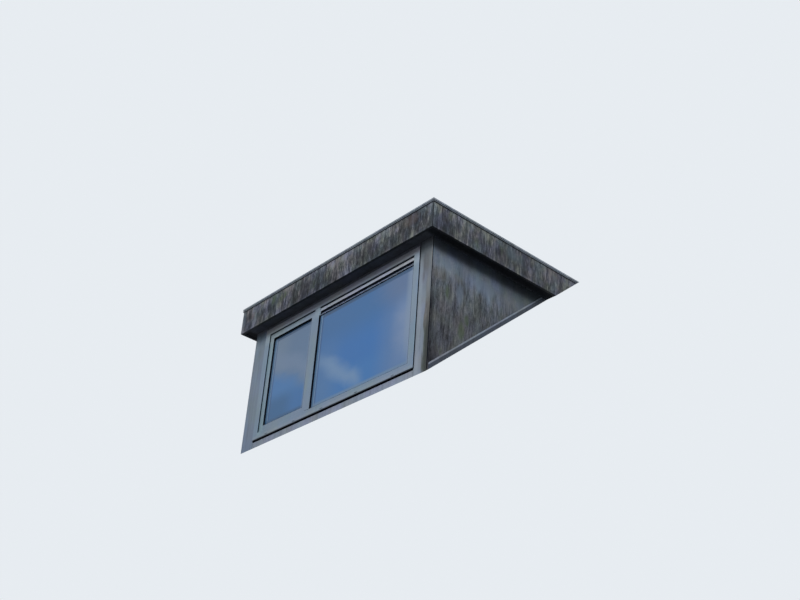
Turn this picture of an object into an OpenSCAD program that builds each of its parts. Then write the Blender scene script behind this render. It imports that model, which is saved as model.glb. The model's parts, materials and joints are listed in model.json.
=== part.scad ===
// Flat-roofed timber dormer window for a pitched roof.
// Millimetres, +Z up, +X to the right and +Y into the roof, seen from the street.
// Sections are drawn with the lower outer edge of the front at zero, then placed with the
// middle of the front rail's sloped underside on the origin.

/* [Body] */
// Width over the two corner boards
body_w = 2500; // [2300:10:2700]
// Pitch of the roof that the base is cut to, in degrees
pitch = 42; // [40:0.5:45]
// Height of the fascia's lower edge over the lower edge of the front
eaves_h = 1243; // [1210:1:1300]

/* [Roof edge] */
// How far the front fascia stands before the front
front_overhang = 118; // [90:1:160]
// How far each side fascia stands outside the corner boards
side_overhang = 113; // [90:1:160]
// Height from the fascia's lower edge to the top of the edge trim
roof_edge_h = 282; // [275:1:320]
// Thickness of the fascia boards
fascia_t = 22; // [16:1:25]
// Height of the edge trim's outer leg
trim_h = 35; // [32:1:45]
// How far the edge trim stands outside the fascia
trim_proud = 8; // [7:1:12]
// Width of the edge trim's top, from its outer face
trim_w = 62; // [50:1:80]
// Height of the soffit's underside over the fascia's lower edge
soffit_rise = 12; // [6:1:20]
// Thickness of the soffit boards
soffit_t = 9; // [6:1:12]

/* [Roof layers] */
// Thickness of the ceiling board
ceiling_t = 12; // [9:1:15]
// Height of the roof joists
joist_h = 145; // [120:5:155]
// Width of the roof joists
joist_w = 45; // [38:1:60]
// Number of roof joists
joist_count = 6; // [4:1:8]
// Thickness of the roof deck
deck_t = 18; // [15:1:22]
// Thickness of the roof membrane
membrane_t = 5; // [4:1:8]

/* [Cheeks] */
// Thickness of the outer cheek panels
panel_t = 8; // [6:1:12]
// How far the cheek panels lie behind the edge of the corner boards
panel_recess = 4; // [2:1:8]
// Thickness of the cheek core
core_t = 90; // [70:5:95]
// Thickness of the inner linings
lining_t = 12; // [9:1:12]
// Thickness of the base rails, square to the roof
rail_t = 45; // [38:1:60]
// Width of the flashing strips on the cheeks, square to the roof
flashing_h = 45; // [30:1:60]
// Thickness of the flashing strips
flashing_t = 5; // [4:1:8]

/* [Front boards] */
// Thickness of the boards around the window
board_t = 18; // [15:1:20]
// Depth of the corner posts and the header
post_d = 70; // [60:5:90]
// Height of the open joint between the apron board and the window frame
apron_joint = 14; // [8:1:20]

/* [Window frame] */
// Width of the window frame
frame_w = 2172; // [2080:1:2190]
// How far the window frame is set to the right of the middle
frame_shift = 14; // [0:1:25]
// Height of the frame's underside over the lower edge of the front
frame_z = 71; // [60:1:80]
// Height of the frame's top over the lower edge of the front
frame_top = 1219; // [1150:1:1225]
// Face width of the frame's four bars
frame_face = 66; // [60:1:80]
// Depth of the frame
frame_d = 70; // [66:1:80]
// How far the frame stands before the front boards
frame_proud = 12; // [8:1:16]
// Place of the mullion's left face, from the middle of the dormer
mullion_x = -307; // [-400:1:-200]
// Face width of the mullion
mullion_w = 68; // [60:1:100]
// Width of the chamfers along the bars' front edges
arris = 3; // [1:1:4]

/* [Panes] */
// Face width of the sash bars that shows from the front
sash_face = 58; // [45:1:65]
// How far the sash reaches behind the frame on each side
sash_lap = 14; // [8:1:18]
// How far the sash lies behind the frame's face
sash_recess = 13; // [10:1:16]
// How far the sash pane lies behind the sash's face
sash_pane_recess = 19; // [12:1:20]
// How far the panes reach into the sash bars
pane_lap = 14; // [10:1:16]
// How far the fixed pane lies behind the frame's face
fixed_pane_recess = 20; // [20:1:24]
// Thickness of the sealed glass units
glass_t = 24; // [20:1:26]
// Width of the stops behind the fixed pane
stop_w = 12; // [10:1:16]
// Height of the ventilation strip over the fixed pane
vent_h = 81; // [81:1:100]
// How far the ventilation strip's hood lies behind the frame's face
vent_recess = 12; // [8:1:12]

/* [Hidden] */
$fn = 48;

// Sides
half_w = body_w / 2;
panel_x = half_w - panel_recess;
core_x = panel_x - panel_t;
lining_x = core_x - core_t;
room_x = lining_x - lining_t;
eaves_x = half_w + side_overhang;
fascia_inner_x = eaves_x - fascia_t;
fascia_inner_y = fascia_t - front_overhang;

// Levels over the lower edge of the front
soffit_z = eaves_h + soffit_rise;
edge_top = eaves_h + roof_edge_h;
nose_h = 15;
membrane_top = edge_top - nose_h;
insulation_top = membrane_top - membrane_t;
ceiling_z = soffit_z + 3;
joist_z = ceiling_z + ceiling_t;
deck_z = joist_z + joist_h;
deck_top = deck_z + deck_t;

// Rails cut to the roof pitch
rail_rise = rail_t / cos(pitch);
rail_run = rail_t / sin(pitch);
wall_back = board_t + post_d;

// Window
frame_left = frame_shift - frame_w / 2;
frame_right = frame_shift + frame_w / 2;
frame_front = -frame_proud;
frame_back = frame_front + frame_d;
sill_top = frame_z + frame_face;
head_z = frame_top - frame_face;
light_left = frame_left + frame_face;
light_right = frame_right - frame_face;
mullion_right = mullion_x + mullion_w;
sash_front = frame_front + sash_recess;
sash_left = light_left - sash_lap;
sash_right = mullion_x + sash_lap;
sash_z = sill_top - sash_lap;
sash_top = head_z + sash_lap;
sash_w = sash_lap + sash_face;
sash_pane_y = sash_front + sash_pane_recess;
sash_pane_edge = sash_w - pane_lap;
fixed_pane_y = frame_front + fixed_pane_recess;
fixed_pane_back = fixed_pane_y + glass_t;
vent_y = frame_front + vent_recess;
vent_leg = 4;
vent_foot = 12;
pane_top = head_z - vent_h + vent_foot;

// Front rail, whose underside runs from the apron board to the height of the sill's top
front_rail_end = sill_top / tan(pitch);
base_y = (board_t + front_rail_end) / 2;

paint_white = [0.74, 0.76, 0.77];
board_grey = [0.66, 0.67, 0.66];
fascia_grey = [0.42, 0.41, 0.38];
cheek_grey = [0.50, 0.50, 0.47];
timber = [0.72, 0.58, 0.40];
bitumen = [0.16, 0.16, 0.17];
metal_grey = [0.70, 0.72, 0.73];
pane_blue = [0.35, 0.48, 0.64];

// Height of the base plane at a distance behind the front, and the reverse
function roof_z(y) = y * tan(pitch);
function roof_y(z) = z / tan(pitch);

module place() {
    translate([0, -base_y, -roof_z(base_y)]) children();
}

// A bar along X: points are [y, z]
module along_x(points, x0, x1) {
    translate([x0, 0, 0]) rotate([90, 0, 90]) linear_extrude(x1 - x0) polygon(points);
}

module box(low, high) {
    translate(low) cube(high - low);
}

// Draws the right-hand side, or its mirror image on the left
module on_side(side) {
    if (side < 0) mirror([1, 0, 0]) children();
    else children();
}

// A layer of the roof between two levels, whose rear end is cut to the roof, set back by back_run
function layer(y0, z0, z1, back_run = 0) = [
    [y0, z0],
    [roof_y(z0) - back_run, z0],
    [roof_y(z1) - back_run, z1],
    [y0, z1]
];

// Base and posts
module base_rail_front() {
    color(timber) place()
        along_x([
            [board_t, roof_z(board_t)],
            [front_rail_end, sill_top],
            [frame_back, sill_top],
            [frame_back, frame_z],
            [board_t, frame_z]
        ], frame_left, frame_right);
}

module base_rail_side(side) {
    color(timber) place() on_side(side)
        along_x([
            [wall_back, roof_z(wall_back)],
            [roof_y(joist_z), joist_z],
            [roof_y(joist_z) - rail_run, joist_z],
            [wall_back, roof_z(wall_back) + rail_rise]
        ], lining_x, core_x);
}

module base_rail_rear() {
    color(timber) place()
        along_x([
            [roof_y(joist_z), joist_z],
            [roof_y(insulation_top), insulation_top],
            [roof_y(insulation_top) - rail_run, insulation_top],
            [roof_y(joist_z) - rail_run, joist_z]
        ], -fascia_inner_x, fascia_inner_x);
}

module corner_post(x0, x1) {
    color(timber) place()
        along_x([
            [board_t, roof_z(board_t)],
            [wall_back, roof_z(wall_back)],
            [wall_back, joist_z],
            [board_t, joist_z]
        ], x0, x1);
}

module window_header() {
    color(timber) place()
        box([frame_left, board_t, frame_top], [frame_right, wall_back, joist_z]);
}

// Cheeks
module cheek_core(side) {
    color(timber) place() on_side(side)
        along_x([
            [wall_back, roof_z(wall_back) + rail_rise],
            [roof_y(joist_z) - rail_run, joist_z],
            [wall_back, joist_z]
        ], lining_x, core_x);
}

module cheek_panel(side) {
    panel_front = board_t + panel_recess;
    color(cheek_grey) place() on_side(side)
        along_x([
            [panel_front, roof_z(panel_front)],
            [roof_y(soffit_z), soffit_z],
            [panel_front, soffit_z]
        ], core_x, panel_x);
}

module cheek_lining(side) {
    color(paint_white) place() on_side(side)
        along_x([
            [wall_back, roof_z(wall_back)],
            [roof_y(ceiling_z), ceiling_z],
            [wall_back, ceiling_z]
        ], room_x, lining_x);
}

module cheek_flashings() {
    front = board_t + panel_recess;
    rise = flashing_h / cos(pitch);
    run = flashing_h / sin(pitch);
    color(metal_grey) place() for (side = [-1, 1]) on_side(side)
        along_x([
            [front, roof_z(front)],
            [roof_y(eaves_h), eaves_h],
            [roof_y(eaves_h) - run, eaves_h],
            [front, roof_z(front) + rise]
        ], panel_x, panel_x + flashing_t);
}

// Roof
module ceiling_board() {
    color(paint_white) place()
        along_x(layer(wall_back, ceiling_z, joist_z), -lining_x, lining_x);
}

module roof_joists() {
    first = -(lining_x + core_x) / 2;
    step = -2 * first / (joist_count - 1);
    color(timber) place() for (i = [0:joist_count - 1])
        translate([first + i * step - joist_w / 2, 0, 0])
            along_x(layer(fascia_inner_y, joist_z, deck_z, rail_run), 0, joist_w);
}

module roof_deck() {
    color(timber) place()
        along_x(layer(fascia_inner_y, deck_z, deck_top, rail_run), -fascia_inner_x, fascia_inner_x);
}

module roof_insulation() {
    color([0.86, 0.80, 0.55]) place()
        along_x(
            layer(fascia_inner_y, deck_top, insulation_top, rail_run),
            -fascia_inner_x, fascia_inner_x
        );
}

module roof_membrane() {
    color(bitumen) place()
        along_x(
            layer(fascia_inner_y, insulation_top, membrane_top),
            -fascia_inner_x, fascia_inner_x
        );
}

// Roof edge
module soffit_front() {
    color(fascia_grey) place()
        box(
            [-fascia_inner_x, fascia_inner_y, soffit_z],
            [fascia_inner_x, 0, soffit_z + soffit_t]
        );
}

module soffit_side(side) {
    color(fascia_grey) place() on_side(side)
        along_x(layer(0, soffit_z, soffit_z + soffit_t), half_w - panel_recess, fascia_inner_x);
}

// Everything on the front's side of the line through the corner at 45 degrees
module front_of_mitre(corner_x, corner_y) {
    linear_extrude(2 * edge_top)
        polygon([[-corner_x, corner_y], [corner_x, corner_y], [0, corner_y + corner_x]]);
}

// Runs of the roof edge: section points are [distance inwards from the outer face, height]
module edge_run_front(section, corner_x, corner_y) {
    place() intersection() {
        along_x([for (p = section) [corner_y + p[0], p[1]]], -corner_x, corner_x);
        front_of_mitre(corner_x, corner_y);
    }
}

module edge_run_side(side, section, corner_x, corner_y) {
    place() on_side(side) difference() {
        intersection() {
            translate([0, corner_y, 0]) rotate([90, 0, 0]) mirror([0, 0, 1])
                linear_extrude(roof_y(edge_top) - corner_y)
                    polygon([for (p = section) [corner_x - p[0], p[1]]]);
            along_x(layer(corner_y, eaves_h, edge_top), 0, corner_x);
        }
        front_of_mitre(corner_x, corner_y);
    }
}

fascia_section = [
    [0, eaves_h + arris],
    [arris, eaves_h],
    [fascia_t, eaves_h],
    [fascia_t, membrane_top],
    [0, membrane_top]
];

module fascia_front() {
    color(fascia_grey) edge_run_front(fascia_section, eaves_x, -front_overhang);
}

module fascia_side(side) {
    color(fascia_grey) edge_run_side(side, fascia_section, eaves_x, -front_overhang);
}

// The edge trim has a drip lip, a groove over it, a flat face and a sloped nose
lip_h = 10;
groove_h = 7;
groove_d = 4;
trim_section = [
    [2, edge_top - trim_h],
    [0, edge_top - trim_h + 2],
    [0, edge_top - trim_h + lip_h],
    [groove_d, edge_top - trim_h + lip_h + 3],
    [groove_d, edge_top - trim_h + lip_h + groove_h - 3],
    [0, edge_top - trim_h + lip_h + groove_h],
    [0, edge_top - 4],
    [4, edge_top],
    [14, edge_top],
    [24, membrane_top + 6],
    [trim_w, membrane_top + 3],
    [trim_w, membrane_top],
    [groove_d + 2, membrane_top],
    [groove_d + 2, edge_top - trim_h]
];
trim_x = eaves_x + trim_proud;
trim_y = -front_overhang - trim_proud;

module roof_trim_front() {
    color(metal_grey) edge_run_front(trim_section, trim_x, trim_y);
}

module roof_trim_side(side) {
    color(metal_grey) edge_run_side(side, trim_section, trim_x, trim_y);
}

// Boards around the window
module corner_board(x0, x1) {
    color(board_grey) place()
        along_x([[0, 0], [board_t, roof_z(board_t)], [board_t, soffit_z], [0, soffit_z]], x0, x1);
}

module head_board() {
    color(board_grey) place()
        box([frame_left, 0, frame_top], [frame_right, board_t, soffit_z]);
}

module apron_board() {
    top = frame_z - apron_joint;
    color(board_grey) place()
        along_x(
            [[0, 0], [board_t, roof_z(board_t)], [board_t, top], [0, top]],
            frame_left, frame_right
        );
}

// Everything between one side of an upright rectangle and the 45 degree lines from its corners
module mitre_wedge(side, x0, x1, z0, z1) {
    half_x = (x1 - x0) / 2;
    half_z = (z1 - z0) / 2;
    points =
        side == "bottom" ? [[x0, z0], [x1, z0], [x0 + half_x, z0 + half_x]] :
        side == "top" ? [[x0, z1], [x1, z1], [x0 + half_x, z1 - half_x]] :
        side == "left" ? [[x0, z0], [x0, z1], [x0 + half_z, z0 + half_z]] :
        [[x1, z0], [x1, z1], [x1 - half_z, z0 + half_z]];
    translate([0, wall_back, 0]) rotate([90, 0, 0]) linear_extrude(2 * wall_back) polygon(points);
}

// One mitred bar of a rectangular frame: section points are [distance inwards from the edge, depth]
module ring_bar(side, section, x0, x1, z0, z1) {
    intersection() {
        if (side == "bottom") along_x([for (p = section) [p[1], z0 + p[0]]], x0, x1);
        else if (side == "top") along_x([for (p = section) [p[1], z1 - p[0]]], x0, x1);
        else translate([0, 0, z0]) linear_extrude(z1 - z0)
            polygon([for (p = section) [side == "left" ? x0 + p[0] : x1 - p[0], p[1]]]);
        mitre_wedge(side, x0, x1, z0, z1);
    }
}

frame_section = [
    [arris, frame_front],
    [frame_face - arris, frame_front],
    [frame_face, frame_front + arris],
    [frame_face, frame_back],
    [0, frame_back],
    [0, frame_front + arris]
];

// Behind the frame's front, room for the sash
module sash_pocket() {
    box([sash_left, sash_front, sash_z], [sash_right, frame_back, sash_top]);
}

// Stops on the frame's inner sides, behind the fixed pane
module fixed_pane_stop(side) {
    low = [mullion_right, fixed_pane_back, sill_top];
    high = [light_right, frame_back, head_z];
    if (side == "bottom") box(low, [high[0], high[1], low[2] + stop_w]);
    if (side == "top") box([low[0], low[1] + vent_leg, high[2] - stop_w], high);
    if (side == "right")
        box([high[0] - stop_w, low[1], low[2] + stop_w], [high[0], high[1], high[2] - stop_w]);
    if (side == "mullion")
        box([low[0], low[1], low[2] + stop_w], [low[0] + stop_w, high[1], high[2] - stop_w]);
}

module frame_bar(side) {
    color(paint_white) place() union() {
        difference() {
            ring_bar(side, frame_section, frame_left, frame_right, frame_z, frame_top);
            sash_pocket();
        }
        fixed_pane_stop(side);
    }
}

module frame_mullion() {
    color(paint_white) place() union() {
        difference() {
            translate([0, 0, sill_top]) linear_extrude(head_z - sill_top)
                polygon([
                    [mullion_x, frame_front + arris],
                    [mullion_x + arris, frame_front],
                    [mullion_right - arris, frame_front],
                    [mullion_right, frame_front + arris],
                    [mullion_right, frame_back],
                    [mullion_x, frame_back]
                ]);
            sash_pocket();
        }
        fixed_pane_stop("mullion");
    }
}

// The sash bars hold the pane in a groove that is open inwards
sash_section = [
    [0, sash_front],
    [sash_w - arris, sash_front],
    [sash_w, sash_front + arris],
    [sash_w, sash_pane_y],
    [sash_pane_edge, sash_pane_y],
    [sash_pane_edge, sash_pane_y + glass_t],
    [sash_w, sash_pane_y + glass_t],
    [sash_w - arris, frame_back],
    [0, frame_back]
];

module sash_bar(side) {
    color(paint_white) place()
        ring_bar(side, sash_section, sash_left, sash_right, sash_z, sash_top);
}

module sash_pane() {
    color(pane_blue) place()
        box(
            [sash_left + sash_pane_edge, sash_pane_y, sash_z + sash_pane_edge],
            [sash_right - sash_pane_edge, sash_pane_y + glass_t, sash_top - sash_pane_edge]
        );
}

module fixed_pane() {
    color(pane_blue) place()
        box([mullion_right, fixed_pane_y, sill_top], [light_right, fixed_pane_back, pane_top]);
}

// Top groove, hood, slot, lip and a foot that grips the pane's top edge
module ventilation_strip() {
    top_groove = [7, 8];
    hood_h = 31;
    slot = [20, 14];
    lip = [11, 2];
    under_lip = [9, 6];
    hood_z = head_z - top_groove[0];
    slot_z = hood_z - hood_h;
    lip_z = slot_z - slot[0];
    under_z = lip_z - lip[0];
    foot_z = pane_top - vent_foot;
    color(metal_grey) place()
        along_x([
            [vent_y + top_groove[1], head_z],
            [vent_y + top_groove[1], hood_z],
            [vent_y + arris, hood_z],
            [vent_y, hood_z - arris],
            [vent_y, slot_z],
            [vent_y + slot[1], slot_z],
            [vent_y + slot[1], lip_z],
            [vent_y + lip[1], lip_z],
            [vent_y + lip[1], under_z],
            [vent_y + under_lip[1], under_z],
            [vent_y + under_lip[1], under_z - under_lip[0]],
            [vent_y + vent_leg, under_z - under_lip[0]],
            [vent_y + vent_leg, foot_z],
            [fixed_pane_y, foot_z],
            [fixed_pane_y, pane_top],
            [fixed_pane_back, pane_top],
            [fixed_pane_back, foot_z],
            [fixed_pane_back + vent_leg, foot_z],
            [fixed_pane_back + vent_leg, head_z]
        ], mullion_right, light_right);
}

module sash_handle() {
    x = light_left + sash_face / 2;
    z = (sill_top + head_z) / 2;
    plate = [28, 10, 150];
    spindle_d = 34;
    lever = [20, 14, 120];
    color(metal_grey) place() union() {
        translate([x - plate[0] / 2, frame_back, z - plate[2] / 2]) cube(plate);
        translate([x, frame_back, z]) rotate([-90, 0, 0]) cylinder(d = 18, h = spindle_d);
        translate([x - lever[0] / 2, frame_back + spindle_d - lever[1], z - lever[2]]) cube(lever);
    }
}

base_rail_front();
base_rail_side(-1);  // base_rail_left
base_rail_side(1);  // base_rail_right
base_rail_rear();
corner_post(-core_x, frame_left);  // corner_post_left
corner_post(frame_right, core_x);  // corner_post_right
window_header();
cheek_core(-1);  // cheek_core_left
cheek_core(1);  // cheek_core_right
cheek_panel(-1);  // cheek_panel_left
cheek_panel(1);  // cheek_panel_right
cheek_lining(-1);  // cheek_lining_left
cheek_lining(1);  // cheek_lining_right
cheek_flashings();
ceiling_board();
roof_joists();
roof_deck();
roof_insulation();
roof_membrane();
soffit_front();
soffit_side(-1);  // soffit_left
soffit_side(1);  // soffit_right
fascia_front();
fascia_side(-1);  // fascia_left
fascia_side(1);  // fascia_right
roof_trim_front();
roof_trim_side(-1);  // roof_trim_left
roof_trim_side(1);  // roof_trim_right
corner_board(-half_w, frame_left);  // corner_board_left
corner_board(frame_right, half_w);  // corner_board_right
head_board();
apron_board();
frame_bar("top");  // frame_head
frame_bar("bottom");  // frame_sill
frame_bar("left");  // frame_jamb_left
frame_bar("right");  // frame_jamb_right
frame_mullion();
sash_bar("top");  // sash_rail_top
sash_bar("bottom");  // sash_rail_bottom
sash_bar("left");  // sash_stile_left
sash_bar("right");  // sash_stile_right
sash_pane();
fixed_pane();
ventilation_strip();
sash_handle();
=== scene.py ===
# A weathered flat-roofed dormer window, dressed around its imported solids.
# Metres, +Z up, +X to the right and +Y into the roof, seen from the street.
import json
import math

import bmesh
import bpy
from mathutils import Matrix, Vector

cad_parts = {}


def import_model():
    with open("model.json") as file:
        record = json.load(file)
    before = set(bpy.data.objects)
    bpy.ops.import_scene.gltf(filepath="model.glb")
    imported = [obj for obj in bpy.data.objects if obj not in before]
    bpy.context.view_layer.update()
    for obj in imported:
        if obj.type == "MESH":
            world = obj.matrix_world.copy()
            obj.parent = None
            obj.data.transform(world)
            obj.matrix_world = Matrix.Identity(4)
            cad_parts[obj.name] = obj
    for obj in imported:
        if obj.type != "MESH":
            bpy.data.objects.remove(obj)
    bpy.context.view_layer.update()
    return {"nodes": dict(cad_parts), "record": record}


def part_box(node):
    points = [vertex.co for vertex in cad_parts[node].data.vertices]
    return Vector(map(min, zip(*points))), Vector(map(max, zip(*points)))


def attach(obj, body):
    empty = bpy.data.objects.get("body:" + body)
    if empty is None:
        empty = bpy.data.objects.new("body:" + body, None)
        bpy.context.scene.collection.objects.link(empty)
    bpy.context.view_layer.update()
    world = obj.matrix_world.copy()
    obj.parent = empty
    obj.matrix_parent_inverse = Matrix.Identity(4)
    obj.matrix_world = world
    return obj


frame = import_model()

NODES = frame["nodes"]
scene = bpy.context.scene


class Box:
    """A node's box: x0, y0, z0 is its lowest corner and x1, y1, z1 its highest."""

    def __init__(self, node):
        low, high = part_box(node)
        self.x0, self.y0, self.z0 = low
        self.x1, self.y1, self.z1 = high


# Places that the solids give
fascia = Box("fascia_front")
side_fascia = Box("fascia_right")
trim = Box("roof_trim_front")
cheek = Box("cheek_panel_right")
flashing = Box("cheek_flashings")
board_right = Box("corner_board_right")
apron = Box("apron_board")
membrane = Box("roof_membrane")
frame_head = Box("frame_head")
frame_sill = Box("frame_sill")
jamb_left = Box("frame_jamb_left")
jamb_right = Box("frame_jamb_right")
mullion = Box("frame_mullion")
stile_left = Box("sash_stile_left")
stile_right = Box("sash_stile_right")
rail_top = Box("sash_rail_top")
rail_bottom = Box("sash_rail_bottom")
sash_pane = Box("sash_pane")
fixed_pane = Box("fixed_pane")
vent = Box("ventilation_strip")

FRONT = board_right.y0
BASE = board_right.z0
BOARD_BACK = board_right.y1
SOFFIT = board_right.z1
HALF_W = board_right.x1
ROOF_SLOPE = (cheek.z1 - cheek.z0) / (cheek.y1 - cheek.y0)
PITCH = math.atan(ROOF_SLOPE)

# The window's openings, seen from the front. The fixed pane fills its opening's width.
FRAME_FACE = fixed_pane.z0 - frame_sill.z0
SILL_TOP = fixed_pane.z0
HEAD_UNDER = frame_head.z1 - FRAME_FACE
LIGHT_LEFT = jamb_left.x0 + FRAME_FACE
sash_opening = (stile_left.x1, stile_right.x0, rail_bottom.z1, rail_top.z0)
fixed_opening = (fixed_pane.x0, fixed_pane.x1, SILL_TOP, vent.z0)

# The ventilation strip, from the top: a hood, a slot and a lip that the slot's flap covers in part
HOOD_TOP = HEAD_UNDER - 0.007
SLOT_TOP = HOOD_TOP - 0.031
SLOT_FOOT = SLOT_TOP - 0.020
FLAP_FOOT = SLOT_FOOT - 0.009

# Camera: where the photographer stood, and how the camera was held
CAMERA_AT = Vector((7.267, FRONT - 5.274, BASE - 4.106))
CAMERA_AZIMUTH = math.radians(50.47)
CAMERA_ELEVATION = math.radians(30.56)
CAMERA_ROLL = math.radians(4.13)
SENSOR_W = 36.0
FOCAL_PX = 1162.45
PHOTO_W = 800

# Studio: lamps that shine on one point, plain light all round, and a floor at street level
LIT_POINT = Vector((0.2, 0.2, 0.6))
LAMP_SIZE = 5
LAMPS = {
    "key": ((7.2, -6.7, 7.5), 1500),
    "left": ((-9.0, 0.0, 6.0), 650),
    "back": ((1.0, 9.0, 4.0), 450),
}
BACKDROP = (0.80, 0.84, 0.88, 1)
ROUND_LIGHT = (0.95, 0.98, 1.0, 1)
ROUND_STRENGTH = 0.42
STREET_BELOW_CAMERA = 1.6
FLOOR_SIZE = 160.0
FLOOR_FADES = (8.0, 22.0)
FLOOR_DIM = (0.20, 0.21, 0.22, 1)
FLOOR_PALE = (0.72, 0.74, 0.76, 1)

# Looks: sockets of a mix node, a patch's edge and depth by face, and a colour's shares
MIX_A, MIX_B, MIX_RESULT = 6, 7, 2
PATCH_EDGE = 0.7
FRONT_REACH, FASCIA_REACH, SIDE_REACH = 0.1, 0.05, 0.3
BOARD_SHARES = (0.45, 1.30)
PAINT_SHARES = (0.55, 1.28)
TIMBER_SHARES = (0.5, 1.3)

SCREW_HEIGHT = 0.0018
SCREW_SIDES = 12
DRAIN_PLACES = (-0.86, -0.45, -0.06, 0.40, 0.86)
FELT_LAP_PLACES = (-0.62, 0.31)


def srgb(*levels):
    """The linear colour of 8-bit screen levels."""
    return tuple(((v / 255 + 0.055) / 1.055) ** 2.4 if v > 10 else v / 255 / 12.92 for v in levels)


class Recipe:
    """One procedural material. Each call adds nodes and returns their output."""

    def __init__(self, name):
        self.material = bpy.data.materials.new(name)
        self.material.use_nodes = True
        self.nodes = self.material.node_tree.nodes
        self.links = self.material.node_tree.links
        self.shader = self.nodes["Principled BSDF"]
        place = self.nodes.new("ShaderNodeTexCoord")
        self.point, self.facing = place.outputs["Object"], place.outputs["Normal"]
        self.x, self.y, self.z = self.split(self.point)

    def split(self, vector):
        node = self.nodes.new("ShaderNodeSeparateXYZ")
        self.links.new(vector, node.inputs[0])
        return node.outputs

    def underside(self):
        """1 on faces that look down, where painted shade goes, and 0 on the rest."""
        return self.fade(self.split(self.facing)[2], -0.4, -0.9)

    def plug(self, socket, value):
        """Links an output to the socket, or sets a plain value on it."""
        if isinstance(value, bpy.types.NodeSocket):
            self.links.new(value, socket)
        elif isinstance(value, tuple) and len(value) == 3 and socket.type == "RGBA":
            socket.default_value = (*value, 1.0)
        else:
            socket.default_value = value

    def math(self, operation, a, b=0.0):
        node = self.nodes.new("ShaderNodeMath")
        node.operation = operation
        self.plug(node.inputs[0], a)
        self.plug(node.inputs[1], b)
        return node.outputs[0]

    def add(self, a, b):
        return self.math("ADD", a, b)

    def minus(self, a, b):
        return self.math("SUBTRACT", a, b)

    def times(self, a, b):
        return self.math("MULTIPLY", a, b)

    def larger(self, a, b):
        return self.math("MAXIMUM", a, b)

    def fade(self, value, low, high, kind="SMOOTHSTEP"):
        """0 at low and 1 at high, and the same beyond them. Low may be over high."""
        node = self.nodes.new("ShaderNodeMapRange")
        node.interpolation_type = kind
        self.plug(node.inputs["Value"], value)
        falls = low > high
        node.inputs["From Min"].default_value = min(low, high)
        node.inputs["From Max"].default_value = max(low, high)
        node.inputs["To Min"].default_value = 1.0 if falls else 0.0
        node.inputs["To Max"].default_value = 0.0 if falls else 1.0
        return node.outputs["Result"]

    def noise(self, per_metre, detail=3.0, roughness=0.5, shift=(0, 0, 0), warp=0.0):
        """Noise with so many cells per metre along X, Y and Z."""
        mapping = self.nodes.new("ShaderNodeMapping")
        mapping.inputs["Scale"].default_value = per_metre
        mapping.inputs["Location"].default_value = shift
        self.links.new(self.point, mapping.inputs["Vector"])
        node = self.nodes.new("ShaderNodeTexNoise")
        node.inputs["Scale"].default_value = 1.0
        node.inputs["Detail"].default_value = detail
        node.inputs["Roughness"].default_value = roughness
        node.inputs["Distortion"].default_value = warp
        self.links.new(mapping.outputs["Vector"], node.inputs["Vector"])
        return node.outputs["Fac"]

    def patch(self, centre, radius):
        """1 in the middle of a soft ellipsoid and 0 outside it."""
        away = self.nodes.new("ShaderNodeVectorMath")
        away.operation = "SUBTRACT"
        self.links.new(self.point, away.inputs[0])
        away.inputs[1].default_value = centre
        scaled = self.nodes.new("ShaderNodeVectorMath")
        scaled.operation = "DIVIDE"
        self.links.new(away.outputs[0], scaled.inputs[0])
        scaled.inputs[1].default_value = radius
        length = self.nodes.new("ShaderNodeVectorMath")
        length.operation = "LENGTH"
        self.links.new(scaled.outputs[0], length.inputs[0])
        return self.fade(length.outputs["Value"], 1.0, 1.0 - PATCH_EDGE)

    def patches(self, places):
        """The largest of several patches, each given as (centre, radius)."""
        value = 0.0
        for centre, radius in places:
            value = self.larger(self.patch(centre, radius), value)
        return value

    def tone(self, *parts):
        """0.5, moved by each (value, weight) as far as the value is from 0.5."""
        total = 0.5
        for value, weight in parts:
            total = self.add(self.times(self.minus(value, 0.5), weight), total)
        return total

    def mix(self, factor, a, b, blend="MIX"):
        node = self.nodes.new("ShaderNodeMix")
        node.data_type = "RGBA"
        node.blend_type = blend
        self.plug(node.inputs[0], factor)
        self.plug(node.inputs[MIX_A], a)
        self.plug(node.inputs[MIX_B], b)
        return node.outputs[MIX_RESULT]

    def over(self, colour, place, strength, other):
        """The colour, with another one laid over it at a place."""
        return self.mix(self.times(place, strength), colour, other)

    def ramp(self, value, dark, middle, pale):
        """Dark at 0, middle at 0.5 and pale at 1."""
        low = self.mix(self.fade(value, 0.0, 0.5, "LINEAR"), dark, middle)
        return self.mix(self.fade(value, 0.5, 1.0, "LINEAR"), low, pale)

    def tinted(self, colour, per_metre, share):
        """The colour, drifting between warm and cool and between green and violet from place to place."""
        warmth = self.fade(self.noise(per_metre, detail=2, shift=(2, 6, 1)), 0.36, 0.64)
        green = self.fade(self.noise(per_metre, detail=2, shift=(9, 3, 5)), 0.38, 0.64)
        colour = self.mix(share, colour, self.mix(warmth, (0.93, 0.98, 1.09), (1.07, 1.01, 0.92)), "MULTIPLY")
        return self.mix(share, colour, self.mix(green, (1.02, 0.97, 1.05), (0.97, 1.03, 0.95)), "MULTIPLY")

    def bump(self, height, distance):
        node = self.nodes.new("ShaderNodeBump")
        node.inputs["Distance"].default_value = distance
        self.plug(node.inputs["Height"], height)
        return node.outputs["Normal"]

    def finish(self, colour, roughness, normal=None, metallic=0.0, specular=0.5):
        self.plug(self.shader.inputs["Base Color"], colour)
        self.plug(self.shader.inputs["Roughness"], roughness)
        self.shader.inputs["Metallic"].default_value = metallic
        self.shader.inputs["Specular IOR Level"].default_value = specular
        if normal is not None:
            self.links.new(normal, self.shader.inputs["Normal"])
        return self.material


def on_front(x, height, half_w, half_h):
    """A patch on the front: its middle and its reach, from the lower edge of the front."""
    return (x, FRONT, BASE + height), (half_w, FRONT_REACH, half_h)


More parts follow.
